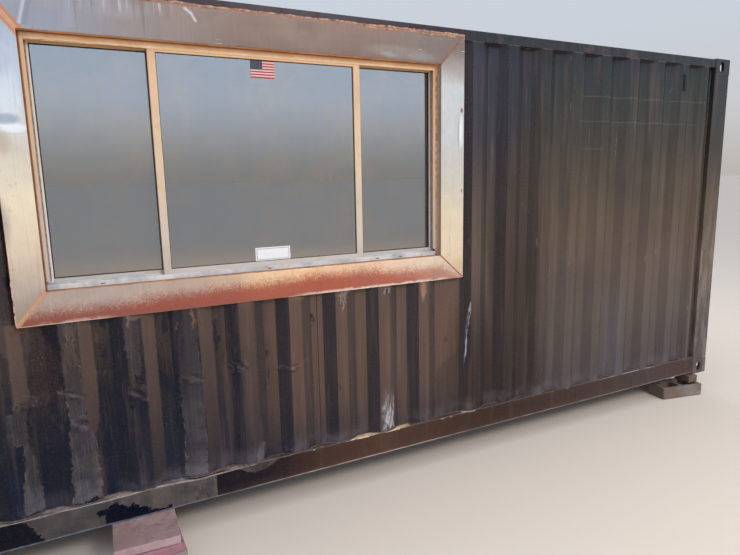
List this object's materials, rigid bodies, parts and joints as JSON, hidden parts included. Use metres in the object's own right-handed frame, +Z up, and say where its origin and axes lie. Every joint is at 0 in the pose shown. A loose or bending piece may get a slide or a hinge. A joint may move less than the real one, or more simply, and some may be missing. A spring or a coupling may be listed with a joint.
{
  "type": "shipping container cabin",
  "caption": "Corrugated steel shipping container used as a cabin, with a wide three-light window in a mitred steel surround, standing on low concrete piers.",
  "frame": {"origin": "on the ground under the middle of the container", "axes": "+X along the container towards the closed end, -Y towards the window side, +Z up"},
  "size_m": [6.058, 2.9572, 2.751],
  "materials": {
    "container_paint": "satin dark charcoal paint, dusty and scuffed",
    "roof_paint": "dull dark paint, weathered",
    "underframe_paint": "matt dark paint",
    "door_rubber": "matt black",
    "lock_gear_paint": "satin dark paint, worn",
    "floor_plywood": "worn plywood",
    "surround_steel": "bare sheet steel, streaked, red oxide along the bottom",
    "reveal_steel": "rust-stained sheet steel",
    "window_aluminium": "almond paint, weathered at the sill",
    "window_glass": "clear, dark behind",
    "vent_plastic": "matt black",
    "pier_concrete": "rough grey concrete",
    "packing_timber": "rough sawn",
    "paver_concrete": "pinkish concrete"
  },
  "bodies": {
    "root": {"back_wall": "container_paint", "bottom_castings": "container_paint", "bottom_side_rails": "container_paint", "closed_end_header": "container_paint", "closed_end_posts": "container_paint", "closed_end_sill": "container_paint", "closed_end_wall": "container_paint", "cross_members": "underframe_paint", "door_end_posts": "container_paint", "door_gaskets": "door_rubber", "door_handles": "lock_gear_paint", "door_header": "container_paint", "door_hinges": "container_paint", "door_left": "container_paint", "door_right": "container_paint", "door_sill": "container_paint", "floor_deck": "floor_plywood", "front_wall_above_window": "container_paint", "front_wall_below_window": "container_paint", "front_wall_left": "container_paint", "front_wall_right": "container_paint", "lock_rods": "lock_gear_paint", "lower_pavers": "paver_concrete", "middle_glass": "window_glass", "middle_light_rails": "window_aluminium", "pier_blocks": "pier_concrete", "pier_packing": "packing_timber", "reveal_head": "reveal_steel", "reveal_sides": "reveal_steel", "reveal_sill": "reveal_steel", "rod_brackets_and_keepers": "lock_gear_paint", "roof": "roof_paint", "roof_header_plates": "roof_paint", "sash_glass": "window_glass", "sash_rails": "window_aluminium", "sash_stiles": "window_aluminium", "surround_bottom": "surround_steel", "surround_left": "surround_steel", "surround_right": "surround_steel", "surround_top": "surround_steel", "top_castings": "container_paint", "top_pavers": "paver_concrete", "top_side_rails": "container_paint", "ventilators": "vent_plastic", "window_head": "window_aluminium", "window_jambs": "window_aluminium", "window_mullions": "window_aluminium", "window_sill": "window_aluminium"}
  },
  "joints": []
}
